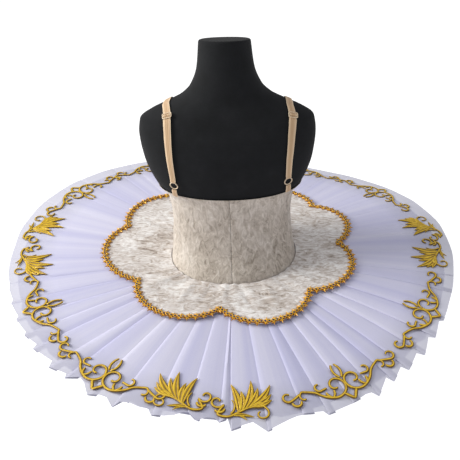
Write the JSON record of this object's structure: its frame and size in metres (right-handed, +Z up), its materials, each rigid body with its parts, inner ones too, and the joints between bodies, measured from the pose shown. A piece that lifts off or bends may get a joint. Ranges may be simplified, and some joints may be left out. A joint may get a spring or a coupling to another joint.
{
  "type": "ballet tutu on a dress form",
  "caption": "Pancake tutu with a velvet bodice, a scalloped overlay and a flat pleated net skirt trimmed with gold embroidery, shown on a limbless dress form",
  "frame": {"origin": "on the surface that the form stands on, under the middle of the waist", "axes": "+Z up, the garment's back towards -Y, its front towards +Y, the wearer's right towards +X"},
  "size_m": [0.9903, 0.9909, 0.7036],
  "materials": {
    "form_jersey": "matt black jersey stretched over a rigid form",
    "bodice_velvet": "beige crushed velvet",
    "yoke_cotton": "plain white cotton",
    "white_net": "stiff white net, see-through in a single layer",
    "overlay_velvet": "ivory crushed velvet",
    "gold_braid": "gold gimp braid with small dark beads",
    "gold_embroidery": "gold satin-stitch embroidery",
    "strap_elastic": "ribbed skin-tone elastic",
    "strap_plastic": "skin-tone nylon-coated fittings"
  },
  "bodies": {
    "root": {"dress_form": "form_jersey", "bodice_back_left": "bodice_velvet", "bodice_back_right": "bodice_velvet", "bodice_front": "bodice_velvet", "hip_yoke": "yoke_cotton", "net_layer_1": "white_net", "net_layer_2": "white_net", "net_layer_3": "white_net", "net_layer_4": "white_net", "net_layer_5": "white_net", "net_layer_6": "white_net", "velvet_overlay": "overlay_velvet", "gold_braid": "gold_braid", "plume_1_a": "gold_embroidery", "plume_1_b": "gold_embroidery", "plume_2_a": "gold_embroidery", "plume_2_b": "gold_embroidery", "plume_3_a": "gold_embroidery", "plume_3_b": "gold_embroidery", "plume_4_a": "gold_embroidery", "plume_4_b": "gold_embroidery", "scroll_1": "gold_embroidery", "scroll_2": "gold_embroidery", "scroll_3": "gold_embroidery", "scroll_4": "gold_embroidery", "scroll_5": "gold_embroidery", "scroll_6": "gold_embroidery", "scroll_7": "gold_embroidery", "scroll_8": "gold_embroidery", "strap_left": "strap_elastic", "strap_loop_left": "strap_elastic", "strap_tab_left": "strap_elastic", "strap_slider_left": "strap_plastic", "strap_ring_left": "strap_plastic", "strap_right": "strap_elastic", "strap_loop_right": "strap_elastic", "strap_tab_right": "strap_elastic", "strap_slider_right": "strap_plastic", "strap_ring_right": "strap_plastic"}
  },
  "joints": []
}
